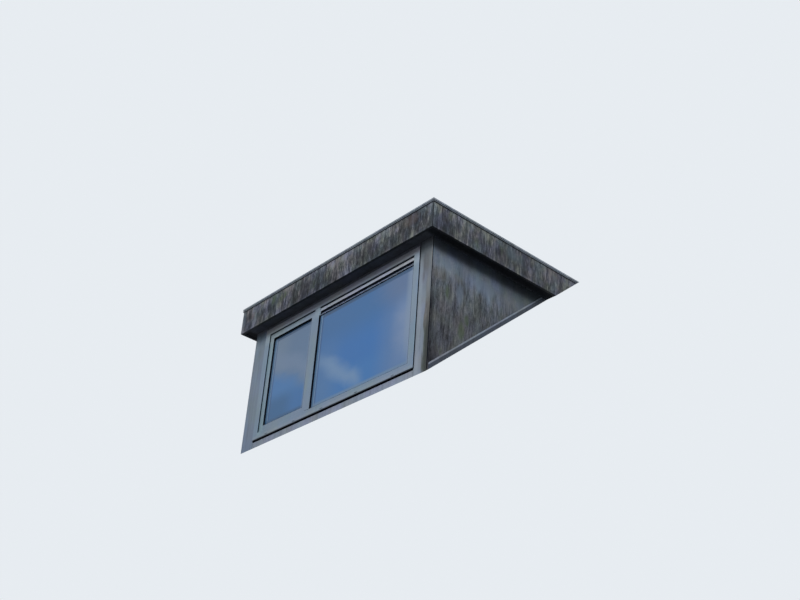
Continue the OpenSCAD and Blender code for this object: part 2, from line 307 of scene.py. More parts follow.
def on_fascia(x, height, half_w, half_h):
    """A patch on the front fascia, from the lower edge of the front."""
    return (x, fascia.y0, BASE + height), (half_w, FASCIA_REACH, half_h)


def on_side(y, height, half_w, half_h):
    """A patch on the right-hand side, from the front's plane."""
    return (HALF_W, FRONT + y, BASE + height), (SIDE_REACH, half_w, half_h)


def weathered_fascia():
    """Grey boards with dark and pale runs down from the trim, fainter at the sides, algae, and painted shade
    on their underside.
    """
    r = Recipe("weathered_fascia")
    runs = r.noise((28, 28, 4.8), detail=4, roughness=0.62, warp=0.25)
    threads = r.noise((85, 85, 17), detail=3, roughness=0.6, shift=(4, 2, 1))
    wide = r.noise((13, 13, 2.8), detail=3, shift=(3, 1, 0), warp=0.4)
    clouds = r.noise((3.1, 3.1, 6.0), detail=4, shift=(7, 2, 1))
    speckle = r.noise((140, 140, 90), detail=2, shift=(0, 5, 0))
    washed = r.patches([
        on_fascia(0.25, 1.29, 0.030, 0.06),
        on_fascia(0.35, 1.33, 0.028, 0.10),
        on_fascia(0.40, 1.27, 0.030, 0.03),
        on_fascia(0.58, 1.27, 0.022, 0.04),
        on_fascia(0.17, 1.40, 0.20, 0.20),
        on_fascia(-1.03, 1.38, 0.17, 0.20),
        on_fascia(-1.20, 1.37, 0.20, 0.20),
        on_fascia(-1.36, 1.40, 0.08, 0.20),
        on_side(0.20, 1.31, 0.035, 0.06),
    ])
    soot = r.patches([
        on_fascia(-0.41, 1.43, 0.035, 0.07),
        on_fascia(-0.21, 1.35, 0.06, 0.08),
        on_fascia(-0.36, 1.33, 0.05, 0.10),
        on_fascia(0.40, 1.295, 0.016, 0.035),
        on_fascia(-0.92, 1.38, 0.03, 0.09),
        on_fascia(-0.42, 1.44, 0.10, 0.05),
        on_fascia(-0.45, 1.36, 0.17, 0.18),
        on_fascia(1.03, 1.37, 0.23, 0.20),
        on_fascia(-0.13, 1.38, 0.16, 0.20),
        on_side(0.07, 1.38, 0.22, 0.20),
        on_side(0.68, 1.38, 0.04, 0.08),
        on_side(1.41, 1.42, 0.06, 0.08),
    ])
    tone = r.tone((runs, 1.6), (threads, 1.5), (wide, 0.75), (clouds, 0.7), (speckle, 0.6))
    tone = r.add(tone, r.times(washed, 0.14))
    tone = r.add(tone, r.times(soot, -0.20))
    tone = r.add(tone, r.times(r.fade(r.z, BASE + 1.36, BASE + 1.48), 0.19))
    tone = r.add(tone, r.times(r.fade(r.z, BASE + 1.42, BASE + 1.28), -0.05))
    foot = r.fade(r.z, fascia.z0 + 0.024, fascia.z0 + 0.008)
    tone = r.add(tone, r.times(foot, 0.10))
    grey = srgb(66, 70, 76)
    colour = r.ramp(tone, srgb(22, 24, 28), grey, srgb(122, 125, 129))
    on_sides = r.fade(r.y, fascia.y0 + 0.010, fascia.y0 + 0.050)
    colour = r.over(colour, on_sides, 0.18, grey)
    colour = r.tinted(colour, (8, 8, 6), 1.0)
    algae = r.larger(
        r.patches([on_fascia(-0.85, 1.43, 0.060, 0.090), on_fascia(-0.70, 1.42, 0.090, 0.070)]),
        r.times(r.patches([
            on_fascia(-1.26, 1.32, 0.110, 0.080),
            on_fascia(-0.22, 1.36, 0.100, 0.100),
            on_side(0.075, 1.43, 0.040, 0.070),
            on_side(0.66, 1.38, 0.090, 0.100),
            on_side(0.40, 1.33, 0.060, 0.090),
        ]), 0.6),
    )
    growth = r.times(algae, r.fade(r.add(runs, wide), 0.84, 1.12))
    colour = r.over(colour, growth, 0.72, srgb(56, 72, 46))
    rust = r.patches([on_fascia(1.09, 1.43, 0.14, 0.09), on_fascia(-1.185, 1.385, 0.05, 0.06)])
    colour = r.over(colour, rust, 0.34, srgb(94, 82, 76))
    rinsed = r.patches([on_side(0.85, 1.40, 0.17, 0.09), on_fascia(-1.34, 1.40, 0.05, 0.12)])
    colour = r.over(colour, rinsed, 0.45, srgb(86, 98, 107))
    corner_x = r.fade(r.math("ABSOLUTE", r.x), fascia.x1 - 0.008, fascia.x1 - 0.003)
    corner_y = r.fade(r.y, fascia.y0 + 0.010, fascia.y0 + 0.004)
    corner = r.times(corner_x, corner_y)
    colour = r.over(colour, corner, 0.75, srgb(26, 28, 31))
    # Painted shade along the fascia's lower edge and underside
    underside = r.fade(r.z, fascia.z0 + 0.0022, fascia.z0 + 0.0008)
    colour = r.over(colour, underside, 0.80, srgb(16, 19, 24))
    roughness = r.add(r.times(runs, 0.25), 0.50)
    relief = r.add(runs, r.times(speckle, 0.6))
    return r.finish(colour, roughness, r.bump(relief, 0.0012), specular=0.12)


def weathered_cheek():
    """A flat panel, washed clean near the soffit, with runs of dirt and algae lower down, and painted shade
    right under the soffit.
    """
    r = Recipe("weathered_cheek")
    runs = r.noise((28, 28, 4.2), detail=4, roughness=0.62, shift=(0, 4, 0), warp=0.2)
    threads = r.noise((85, 85, 18), detail=3, roughness=0.6, shift=(0, 2, 7))
    wide = r.noise((9, 9, 2.4), detail=3, shift=(0, 8, 3), warp=0.3)
    clouds = r.noise((3.0, 3.0, 4.0), detail=4, shift=(5, 5, 5))
    speckle = r.noise((110, 110, 70), detail=3, shift=(0, 5, 0))
    depth = r.minus(r.y, FRONT)
    height = r.minus(r.z, BASE)
    ragged = r.add(r.times(r.minus(runs, 0.5), 0.34), r.times(r.minus(wide, 0.5), 0.30))
    below = r.fade(r.add(r.add(height, r.times(depth, 0.10)), ragged), 1.10, 0.90)
    clean_tone = r.tone((runs, 0.45), (threads, 0.40), (clouds, 0.8), (wide, 0.6), (speckle, 0.4))
    blue = r.ramp(clean_tone, srgb(60, 67, 76), srgb(99, 110, 123), srgb(128, 138, 150))
    grey = r.ramp(clean_tone, srgb(50, 56, 60), srgb(84, 92, 98), srgb(112, 119, 124))
    clean = r.mix(r.fade(depth, 0.70, 0.88), blue, grey)
    dirt_tone = r.tone((runs, 1.4), (threads, 1.5), (wide, 0.9), (clouds, 0.6), (speckle, 0.6))
    high_dirt = r.ramp(dirt_tone, srgb(38, 41, 44), srgb(76, 81, 87), srgb(112, 116, 122))
    low_dirt = r.ramp(dirt_tone, srgb(36, 38, 40), srgb(78, 81, 86), srgb(106, 108, 112))
    dirt = r.mix(r.fade(height, 0.85, 0.50), high_dirt, low_dirt)
    colour = r.tinted(r.mix(below, clean, dirt), (8, 8, 5), 0.65)
    drips = r.fade(r.noise((34, 34, 2.2), detail=3, roughness=0.55, shift=(0, 11, 4)), 0.56, 0.68)
    colour = r.over(colour, r.times(drips, below), 0.40, srgb(42, 44, 46))
    rinsed = r.patches([
        on_side(0.33, 0.83, 0.060, 0.13),
        on_side(0.18, 1.05, 0.070, 0.07),
        on_side(0.62, 1.02, 0.150, 0.10),
    ])
    colour = r.over(colour, rinsed, 0.6, srgb(96, 108, 124))
    brown = r.patches([on_side(0.11, 0.94, 0.13, 0.09), on_side(0.30, 0.97, 0.08, 0.06)])
    colour = r.over(colour, brown, 0.40, srgb(90, 88, 84))
    algae = r.patches([
        on_side(0.20, 0.375, 0.050, 0.090),
        on_side(0.36, 0.50, 0.055, 0.12),
        on_side(0.42, 0.62, 0.050, 0.08),
        on_side(0.19, 0.80, 0.035, 0.09),
        on_side(0.12, 0.24, 0.050, 0.07),
    ])
    growth = r.times(algae, r.fade(r.add(runs, wide), 0.84, 1.12))
    colour = r.over(colour, growth, 0.62, srgb(60, 74, 50))
    soot = r.patches([on_side(0.040, 0.20, 0.085, 0.30), on_side(0.02, 0.50, 0.040, 0.35)])
    colour = r.over(colour, soot, r.fade(r.add(threads, wide), 0.72, 1.10), srgb(27, 28, 33))
    # Painted shade right under the soffit
    soffit_shade = r.fade(height, 1.120, 1.200)
    colour = r.over(colour, soffit_shade, 0.62, srgb(12, 15, 24))
    roughness = r.add(r.times(runs, 0.2), r.add(r.times(below, 0.1), 0.45))
    relief = r.add(runs, r.times(speckle, 0.5))
    return r.finish(colour, roughness, r.bump(relief, 0.0008), specular=0.12)


def coated_board(name, level):
    """A satin facing board with faint runs, with brown dirt and painted shade right under the soffit."""
    r = Recipe(name)
    runs = r.noise((44, 44, 1.6), detail=4, roughness=0.6, shift=(1, 0, 2))
    clouds = r.noise((4, 4, 3), detail=3, shift=(2, 0, 9))
    speckle = r.noise((110, 110, 70), detail=2)
    tone = r.tone((runs, 1.2), (clouds, 0.9), (speckle, 0.3))
    colour = r.tinted(shades(r, tone, level, BOARD_SHARES), (7, 7, 4), 0.5)
    # Brown dirt and painted shade right under the soffit
    top = r.fade(r.z, SOFFIT - 0.065, SOFFIT - 0.005)
    colour = r.over(colour, top, 0.60, srgb(80, 66, 70))
    return board_finish(r, colour, runs, speckle)


def board_finish(r, colour, runs, speckle):
    roughness = r.add(r.times(runs, 0.2), 0.36)
    return r.finish(colour, roughness, r.bump(r.add(runs, speckle), 0.0003), specular=0.4)


def shades(r, tone, level, shares):
    """One colour, from a dark to a pale share of it."""
    dark, pale = shares
    return r.ramp(tone, tuple(dark * c for c in level), level, tuple(min(1.0, pale * c) for c in level))


def stained_board():
    """The right corner board: darker under the eaves with painted shade, with a black and green run down its
    outer edge.
    """
    r = Recipe("stained_board")
    runs = r.noise((44, 44, 1.6), detail=4, roughness=0.6, shift=(1, 0, 2))
    clouds = r.noise((6, 6, 4), detail=3, shift=(2, 0, 9))
    speckle = r.noise((110, 110, 70), detail=2)
    tone = r.tone((runs, 1.2), (clouds, 0.9), (speckle, 0.3))
    colour = shades(r, tone, srgb(122, 133, 146), BOARD_SHARES)
    # Painted shade: a darker copy of the colour for the upper part, under the eaves
    duller = shades(r, tone, srgb(106, 114, 125), BOARD_SHARES)
    colour = r.mix(r.fade(r.z, BASE + 0.55, BASE + 0.95), colour, duller)
    colour = r.tinted(colour, (7, 7, 4), 0.6)
    brown = r.patches([
        on_front(HALF_W - 0.070, 1.03, 0.06, 0.15),
        on_front(HALF_W - 0.10, 0.90, 0.03, 0.08),
    ])
    colour = r.over(colour, brown, 0.50, srgb(72, 69, 72))
    pale_run = r.patches([
        on_front(HALF_W - 0.030, 0.80, 0.026, 0.16),
        on_front(HALF_W - 0.006, 1.06, 0.012, 0.15),
    ])
    colour = r.over(colour, pale_run, 0.40, srgb(134, 134, 132))
    from_edge = r.minus(HALF_W, r.x)
    ragged = r.minus(r.noise((34, 34, 5), detail=4, shift=(0, 1, 1)), 0.5)
    inside = r.minus(r.add(r.times(ragged, 0.10), 0.050), from_edge)
    growth = r.times(r.fade(inside, -0.010, 0.012), r.fade(r.z, BASE + 0.84, BASE + 0.56))
    mottle = r.noise((60, 60, 20), detail=3)
    umber = r.ramp(mottle, srgb(50, 48, 47), srgb(84, 81, 78), srgb(108, 106, 102))
    green = r.ramp(mottle, srgb(14, 18, 18), srgb(38, 46, 36), srgb(78, 88, 66))
    stain = r.mix(r.fade(r.z, BASE + 0.52, BASE + 0.32), umber, green)
    colour = r.over(colour, r.fade(from_edge, 0.12, 0.02), 0.38, srgb(88, 92, 92))
    colour = r.over(colour, growth, 0.90, stain)
    rim = r.times(r.fade(from_edge, 0.040, 0.014), r.fade(r.z, BASE + 0.66, BASE + 0.36))
    colour = r.over(colour, rim, 0.70, srgb(22, 24, 26))
    # Brown streaks and painted shade right under the soffit
    top = r.fade(r.z, SOFFIT - 0.075, SOFFIT - 0.005)
    colour = r.over(colour, top, 0.60, srgb(48, 46, 46))
    beside_frame = r.times(r.fade(from_edge, 0.092, 0.112), r.fade(r.z, SOFFIT - 0.10, SOFFIT - 0.30))
    colour = r.over(colour, beside_frame, 0.45, srgb(136, 147, 161))
    return board_finish(r, colour, runs, speckle)


def satin(r, level, roughness, wear, metallic=0.0, places=(), specular=0.4):
    """Finishes a recipe as even paint or coated metal, with faint runs and dust.

    Places are (share, level) pairs for other colours in parts of it."""
    runs = r.noise((30, 30, 2.2), detail=4, roughness=0.6, shift=(1, 7, 2))
    clouds = r.noise((5, 5, 5), detail=3, shift=(2, 0, 4))
    speckle = r.noise((160, 160, 160), detail=2)
    tone = r.tone((runs, 2.0 * wear), (clouds, 2.4 * wear), (speckle, wear))
    colour = shades(r, tone, level, PAINT_SHARES)
    for share, other in places:
        colour = r.mix(share, colour, shades(r, tone, other, PAINT_SHARES))
    colour = r.tinted(colour, (5, 5, 3), 0.5)
    rough = r.add(r.times(clouds, 0.2), roughness - 0.1)
    return r.finish(colour, rough, r.bump(speckle, 0.00015), metallic=metallic, specular=specular)


def soffit_board():
    """Matt soiled boards, darker past the front's corners with painted shade."""
    r = Recipe("soffit")
    # Painted shade on the side soffits, past the front's corners
    past = r.fade(r.math("ABSOLUTE", r.x), HALF_W - 0.020, HALF_W + 0.030)
    return satin(r, srgb(70, 74, 82), 0.7, 0.5, places=[(past, srgb(32, 34, 38))], specular=0.04)


def frame_paint():
    """The window's paint: paler on the outer stile, with painted light high up, where it is paler and warmer
    under the eaves, dirt and painted shade along its drip edge, and painted shade on faces that look down.
    """
    r = Recipe("frame_paint")
    past_jamb = r.fade(r.x, LIGHT_LEFT, LIGHT_LEFT + 0.002)
    outer_stile = r.times(past_jamb, r.fade(r.x, stile_left.x1 + 0.010, stile_left.x1 - 0.010))
    return satin(r, srgb(113, 132, 150), 0.36, 0.14, places=[
        (outer_stile, srgb(121, 143, 155)),
        # Painted light: paler paint under the eaves, where the soffit shades it
        (r.fade(r.z, BASE + 1.02, BASE + 1.11), srgb(136, 152, 166)),
        # Painted light: paler, warmer paint at the head, in the soffit's shade
        (r.fade(r.z, BASE + 1.14, BASE + 1.19), srgb(143, 146, 158)),
        (r.times(r.fade(r.z, BASE + 0.112, BASE + 0.098), 0.8), srgb(124, 138, 151)),
        # Dirt and painted shade along the sill's drip edge
        (r.fade(r.z, frame_sill.z0 + 0.010, frame_sill.z0 + 0.003), srgb(40, 47, 56)),
        # Painted shade on faces that look down
        (r.underside(), srgb(48, 54, 66)),
    ])


def vent_metal():
    """Pale coated metal, bluer below the slot, where its colour is raised as painted light in the lip's
    shade.
    """
    r = Recipe("vent_metal")
    above_slot = r.fade(r.z, SLOT_FOOT, SLOT_TOP)
    # Below the slot the base colour is painted light, raised against the lip's shade
    return satin(r, srgb(160, 174, 198), 0.3, 0.2, places=[(above_slot, srgb(177, 184, 198))])


def flashing_metal():
    """Dark metal with a pale band along its upper edge, where it lies on the cheek."""
    r = Recipe("flashing_metal")
    slope = r.add(r.times(r.minus(r.y, FRONT), ROOF_SLOPE), BASE)
    above = r.times(r.minus(r.z, slope), math.cos(PITCH))
    upper_edge = r.fade(above, 0.030, 0.036)
    return satin(r, srgb(42, 50, 62), 0.5, 0.6, places=[(upper_edge, srgb(112, 120, 132))])


def trim_metal():
    """A dulled metal profile with a dark drip lip, a pale line over it, a painted highlight along its top and
    a soiled face.
    """
    r = Recipe("trim_metal")
    runs = r.noise((24, 24, 8), detail=4, roughness=0.65)
    clouds = r.noise((3, 3, 6), detail=3, shift=(3, 3, 0))
    up = r.math("DIVIDE", r.minus(r.z, trim.z0), trim.z1 - trim.z0)
    tone = r.tone((runs, 1.1), (clouds, 0.9))
    face = r.ramp(tone, srgb(58, 62, 68), srgb(106, 114, 124), srgb(148, 156, 165))
    lip = r.ramp(tone, srgb(44, 48, 54), srgb(82, 90, 99), srgb(112, 120, 128))
    line = r.ramp(tone, srgb(92, 98, 106), srgb(132, 141, 151), srgb(166, 174, 182))
    colour = r.mix(r.fade(up, 0.50, 0.44), face, lip)
    bright = r.times(r.fade(up, 0.46, 0.52), r.fade(up, 0.70, 0.60))
    colour = r.over(colour, bright, 0.8, line)
    # Painted highlight along the top of the profile
    nose = r.fade(up, 0.90, 0.99)
    colour = r.over(colour, nose, 0.6, line)
    colour = r.tinted(colour, (5, 5, 5), 0.3)
    return r.finish(colour, r.add(r.times(clouds, 0.3), 0.40), r.bump(runs, 0.0003), specular=0.4)


def sawn_timber(name, level, grain_axis, tilt=0.0):
    """Planed softwood or ply with grain along one axis, 0, 1 or 2, tilted up into the roof."""
    r = Recipe(name)
    turn = r.nodes.new("ShaderNodeVectorRotate")
    turn.rotation_type = "X_AXIS"
    turn.inputs["Angle"].default_value = -tilt
    r.links.new(r.point, turn.inputs["Vector"])
    r.point = turn.outputs["Vector"]
    scale = [70, 70, 70]
    scale[grain_axis] = 2.2
    grain = r.noise(tuple(scale), detail=5, roughness=0.65, warp=0.3)
    bands = [16, 16, 16]
    bands[grain_axis] = 0.7
    wide = r.noise(tuple(bands), detail=2, shift=(3, 3, 3))
    tone = r.tone((grain, 1.2), (wide, 1.0))
    colour = shades(r, tone, level, TIMBER_SHARES)
    return r.finish(colour, r.add(r.times(grain, 0.2), 0.5), r.bump(grain, 0.0006), specular=0.3)


def roof_felt():
    """Mineral bitumen sheet: dark grey granules with dried puddle marks, and a little moss at the edges."""
    r = Recipe("roof_felt")
    granules = r.noise((260, 260, 260), detail=3, roughness=0.8)
    mottle = r.noise((26, 26, 26), detail=4, roughness=0.6, shift=(1, 2, 3))
    clouds = r.noise((2.4, 2.4, 2.4), detail=5, roughness=0.6, shift=(8, 3, 0))
    puddles = r.noise((1.3, 1.3, 1.3), detail=6, roughness=0.55, shift=(4, 1, 0), warp=0.3)
    tone = r.tone((granules, 1.6), (mottle, 0.9), (clouds, 1.1))
    colour = r.ramp(tone, srgb(34, 35, 37), srgb(72, 74, 77), srgb(114, 116, 119))
    dried = r.fade(puddles, 0.50, 0.60)
    colour = r.over(colour, dried, 0.24, srgb(96, 94, 88))
    rim = r.times(r.fade(puddles, 0.510, 0.530), r.fade(puddles, 0.560, 0.530))
    colour = r.over(colour, rim, r.times(mottle, 0.42), srgb(118, 114, 106))
    edge_x = r.fade(r.math("ABSOLUTE", r.x), membrane.x1 - 0.16, membrane.x1 - 0.03)
    edge_y = r.fade(r.y, membrane.y0 + 0.16, membrane.y0 + 0.03)
    moss = r.times(r.larger(edge_x, edge_y), r.fade(r.noise((18, 18, 18), detail=4), 0.50, 0.62))
    colour = r.over(colour, moss, 0.75, srgb(66, 78, 40))
    return r.finish(colour, 0.85, r.bump(granules, 0.0012), specular=0.3)


def soft_foam():
    """Pale yellow insulation board with fine cells."""
    r = Recipe("foam_board")
    cells = r.noise((300, 300, 300), detail=2)
    clouds = r.noise((3, 3, 3), detail=3)
    tone = r.tone((cells, 0.8), (clouds, 0.6))
    colour = r.ramp(tone, srgb(170, 156, 98), srgb(214, 202, 146), srgb(232, 224, 178))
    return r.finish(colour, r.add(r.times(cells, 0.1), 0.75), r.bump(cells, 0.0006))


def black_seal():
    """Black glazing rubber with a little dust."""
    r = Recipe("black_seal")
    dust = r.noise((60, 60, 40), detail=4)
    colour = r.ramp(r.tone((dust, 0.9)), srgb(3, 5, 9), srgb(7, 11, 20), srgb(26, 35, 50))
    return r.finish(colour, r.add(r.times(dust, 0.2), 0.6), r.bump(dust, 0.0003), specular=0.02)


# Light that a pane reflects of its plain surroundings at the photographer's angle
PANE_SHEEN = (0.060, 0.064, 0.067)
PANE_SHARE = 0.86


def behind_sheen(*levels):
    """What a pane shows where it should look like these screen levels in all."""
    return tuple(max(c - sheen, 0.002) / PANE_SHARE for c, sheen in zip(srgb(*levels), PANE_SHEEN))


def pane_finish(name, colour_of, opening, foot):
    """Sealed glass with a painted reflection of a sky, darker under the head and paler at the far side, the
    spacer's image at its edge and a paler or duller foot.
    """
    r = Recipe(name)
    colour = colour_of(r)
    x0, x1, z0, z1 = opening
    left, right = r.minus(r.x, x0), r.minus(x1, r.x)
    low, high = r.minus(r.z, z0), r.minus(z1, r.z)
    # A darker band under the head, painted into the reflection
    under_head = r.times(r.fade(high, 0.050, 0.032), r.fade(left, 0.010, 0.030))
    colour = r.over(colour, under_head, 0.90, behind_sheen(70, 92, 119))
    shade = r.times(r.fade(left, 0.036, 0.044), r.fade(left, 0.062, 0.052))
    colour = r.over(colour, shade, 0.60, behind_sheen(66, 92, 124))
    spacer_image = r.times(r.fade(left, 0.006, 0.012), r.fade(left, 0.040, 0.033))
    colour = r.over(colour, spacer_image, 0.90, behind_sheen(110, 134, 160))
    colour = r.over(colour, r.fade(low, 0.055, 0.024), 0.75, behind_sheen(*foot))
    far_side = r.times(r.fade(right, 0.052, 0.026), 0.42)
    colour = r.mix(far_side, colour, behind_sheen(128, 142, 162))
    dust = r.noise((9, 9, 4), detail=4, shift=(5, 0, 5))
    return r.finish(colour, r.add(r.times(dust, 0.08), 0.02))


def sash_sky(r):
    """A painted reflection of the sky: grey cloud above a slanted edge with a paler rim, blue below it, and a
    deeper blue at the foot.
    """
    up = r.minus(r.z, BASE)
    across = r.times(r.add(r.x, 0.6565), 0.475)
    wisps = r.minus(r.noise((2.2, 2.2, 3.6), detail=3, warp=0.4), 0.5)
    above = r.add(r.add(up, across), r.times(wisps, 0.25))
    left = r.fade(r.x, -0.60, -0.85)
    foot = r.mix(r.fade(r.x, -0.50, -0.72), behind_sheen(76, 115, 162), behind_sheen(73, 108, 147))
    blue = r.mix(r.fade(up, 0.52, 0.36), behind_sheen(82, 122, 169), foot)
    cloud = r.mix(left, behind_sheen(100, 122, 149), behind_sheen(109, 128, 150))
    colour = r.mix(r.fade(above, 0.50, 0.72), blue, cloud)
    rim = r.times(r.fade(above, 0.60, 0.74), r.fade(above, 0.92, 0.76))
    return r.over(colour, rim, 0.75, behind_sheen(113, 132, 157))


def fixed_sky(r):
    """A painted reflection of the sky: blue, with a slanted thin cloud low on the left and a pale right-hand
    edge.
    """
    up = r.minus(r.z, BASE)
    wisps = r.minus(r.noise((2.0, 2.0, 3.0), detail=3, shift=(3, 0, 1), warp=0.4), 0.5)
    blue = r.mix(r.fade(up, 0.55, 0.90), behind_sheen(74, 115, 168), behind_sheen(77, 112, 155))
    blue = r.mix(r.fade(up, 0.46, 0.30), blue, behind_sheen(77, 119, 170))
    veil = r.times(r.fade(r.x, 0.20, -0.12), r.fade(up, 0.85, 0.55))
    colour = r.over(blue, veil, 0.6, behind_sheen(92, 122, 158))
    haze = r.times(r.fade(r.add(r.x, r.times(wisps, 0.6)), 0.45, 0.95), r.fade(up, 0.55, 0.90))
    colour = r.mix(haze, colour, behind_sheen(98, 117, 147))
    low_right = r.times(r.fade(r.x, 0.50, 0.85), r.fade(up, 0.90, 0.60))
    colour = r.mix(low_right, colour, behind_sheen(94, 122, 161))
    above_foot = r.fade(up, 0.05, 0.50)
    to_right = r.fade(r.add(r.x, r.times(wisps, 0.3)), 0.76, 0.98)
    edge = r.times(to_right, r.times(r.fade(up, 0.95, 0.60), above_foot))
    colour = r.over(colour, edge, 0.85, behind_sheen(121, 138, 165))
    rim = r.times(r.fade(r.x, 0.925, 0.985), above_foot)
    colour = r.over(colour, rim, 0.6, behind_sheen(127, 143, 162))
    centre = r.minus(0.47, r.times(r.x, 0.62))
    off = r.math("ABSOLUTE", r.add(r.minus(up, centre), r.times(wisps, 0.22)))
    band = r.times(r.fade(off, 0.15, 0.0), r.times(r.fade(r.x, 0.50, 0.32), r.fade(r.x, -0.42, 0.02)))
    return r.over(colour, band, 0.90, behind_sheen(113, 140, 172))


TIMBER = (0.50, 0.34, 0.19)
MATERIALS = {
    "timber": sawn_timber("timber", TIMBER, 0),
    "plywood": sawn_timber("plywood", (0.50, 0.36, 0.21), 1),
    "insulation": soft_foam(),
    "lining": satin(Recipe("lining"), (0.70, 0.70, 0.68), 0.5, 0.12),
    "membrane": roof_felt(),
    "soffit": soffit_board(),
    "fascia": weathered_fascia(),
    "edge_trim": trim_metal(),
    "cladding": coated_board("cladding", srgb(102, 117, 134)),
    "cheek": weathered_cheek(),
    "flashing": flashing_metal(),
    "frame_paint": frame_paint(),
    "vent_metal": vent_metal(),
    "handle_metal": satin(Recipe("handle_metal"), (0.5, 0.5, 0.5), 0.25, 0.1, metallic=0.8),
    "seal": black_seal(),
    "spacer": satin(Recipe("spacer"), srgb(86, 108, 134), 0.3, 0.2),
    "fixing": satin(Recipe("fixing"), (0.34, 0.34, 0.33), 0.4, 0.4, metallic=0.7),
}
upright_timber = sawn_timber("upright_timber", TIMBER, 2)
sloping_timber = sawn_timber("sloping_timber", TIMBER, 1, PITCH)
NODE_FINISHES = {
    "corner_post_left": upright_timber,
    "corner_post_right": upright_timber,
    "base_rail_left": sloping_timber,
    "base_rail_right": sloping_timber,
    "roof_joists": sawn_timber("joist_timber", TIMBER, 1),
    "corner_board_right": stained_board(),
    "apron_board": coated_board("apron", srgb(124, 133, 149)),
    "sash_pane": pane_finish("sash_glass", sash_sky, sash_opening, (74, 99, 128)),
    "fixed_pane": pane_finish("fixed_glass", fixed_sky, fixed_opening, (112, 134, 157)),
}


def dress_solids():
    """Gives each solid the finish of its slot, or its own."""
    for entry in frame["record"]["subparts"]:
        name = entry["node"]
        finish = NODE_FINISHES[name] if name in NODE_FINISHES else MATERIALS[entry["material_slot"]]
        NODES[name].data.materials.clear()
        NODES[name].data.materials.append(finish)


def piece(slot, build):
    """A mesh that build draws and gives its name, which belongs to the dormer."""
    name = build.__name__
    bm = bmesh.new()
    build(bm)
    bmesh.ops.recalc_face_normals(bm, faces=bm.faces)
    mesh = bpy.data.meshes.new(name)
    bm.to_mesh(mesh)
    bm.free()
    mesh.materials.append(MATERIALS[slot])
    obj = bpy.data.objects.new(name, mesh)
    scene.collection.objects.link(obj)
    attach(obj, "root")


def block(bm, low, high):
    """A box between two corners. Returns its vertices."""
    verts = bmesh.ops.create_cube(bm, size=1.0)["verts"]
    for v in verts:
        for i in range(3):
            v.co[i] = low[i] + (v.co[i] + 0.5) * (high[i] - low[i])
    return verts


def bridge(bm, rings, closed):
    """Joins rings of points to a tube: closed to a loop, or capped at both ends."""
    made = [[bm.verts.new(p) for p in ring] for ring in rings]
    count = len(made[0])
    spans = len(made) if closed else len(made) - 1
    for i in range(spans):
        a, b = made[i], made[(i + 1) % len(made)]
        for j in range(count):
            k = (j + 1) % count
            bm.faces.new((a[j], a[k], b[k], b[j]))
    if not closed:
        bm.faces.new(made[0])
        bm.faces.new(made[-1])


def bar(bm, section, axis, start, end):
    """A straight bar along X, Y or Z. Section points are the other two coordinates in order."""
    rings = []
    for at in (start, end):
        rings.append([Vector((*p[:axis], at, *p[axis:])) for p in section])
    bridge(bm, rings, False)


def mitred_run(bm, corners, section, closed=True):
    """A strip in the plane of the window, mitred where it turns.

    Corners are (x, z), anticlockwise seen from the street. Section points are the distance
    inwards from the corners' outline, and y. An open run has square ends."""
    count = len(corners)
    points = [Vector(c) for c in corners]
    sides = [(points[(i + 1) % count] - points[i]).normalized() for i in range(count)]
    inward = [Vector((-s.y, s.x)) for s in sides]
    rings = []
    for i, point in enumerate(points):
        if closed or 0 < i < count - 1:
            turn = inward[i - 1] + inward[i]
        else:
            turn = inward[0] if i == 0 else inward[i - 1]
        ring = []
        for distance, y in section:
            at = point + turn * distance
            ring.append(Vector((at.x, y, at.y)))
        rings.append(ring)
    bridge(bm, rings, closed)


def rectangle(x0, x1, z0, z1):
    return [(x0, z0), (x1, z0), (x1, z1), (x0, z1)]


def roof_height(y):
    """Height of the main roof's plane at a place y."""
    return BASE + (y - FRONT) * ROOF_SLOPE


def cone(bm, radii, height, place, sides):
    """A capped cone with its lower and upper radius. Returns its vertices."""
    made = bmesh.ops.create_cone(
        bm, cap_ends=True, segments=sides, radius1=radii[0], radius2=radii[1], depth=height, matrix=place
    )
    return made["verts"]


def screw(bm, at, normal, radius):
    """A pan head with a round recess, standing on a face."""
    turn = Vector((0, 0, 1)).rotation_difference(Vector(normal)).to_matrix().to_4x4()
    place = Matrix.Translation(Vector(at) + Vector(normal) * SCREW_HEIGHT / 2) @ turn
    verts = cone(bm, (radius, radius * 0.72), SCREW_HEIGHT, place, SCREW_SIDES)
    top = max(
        (f for v in verts for f in v.link_faces),
        key=lambda f: f.calc_center_median().dot(Vector(normal)),
    )
    bmesh.ops.inset_region(bm, faces=[top], thickness=radius * 0.34)
    for v in top.verts:
        v.co -= Vector(normal) * SCREW_HEIGHT * 0.5


def spread(start, end, step):
    """Even places from start to end, at most a step apart, with half a step at each end."""
    count = max(1, math.ceil((end - start) / step))
    return [start + (i + 0.5) * (end - start) / count for i in range(count)]


# Start and end of the sealant on the side of a corner board, behind the front
CORNER_SEAL = (0.001, 0.009)


def reveal_lining_and_shade(front, glass):
    """The section of a thin rubber lining of a reveal, with a lip on the glass. Its black is also painted
    shade in the reveal.
    """
    skin, lip = 0.0006, 0.003
    outer = [(0, front + 0.001), (skin, front + 0.002), (skin, glass - lip)]
    return outer + [(lip, glass - 0.001), (lip, glass), (0, glass)]


def sash_gaskets_and_shade(bm):
    """Outer and inner glazing rubber of the opening sash. The outer rubber's black is also painted shade in
    the reveal.
    """
    front, glass = stile_left.y0, sash_pane.y0
    mitred_run(bm, rectangle(*sash_opening), reveal_lining_and_shade(front, glass))
    inner = sash_pane.y1
    room = [(0, inner), (0.006, inner), (0.005, inner + 0.003), (0, inner + 0.006)]
    mitred_run(bm, rectangle(*sash_opening), room)


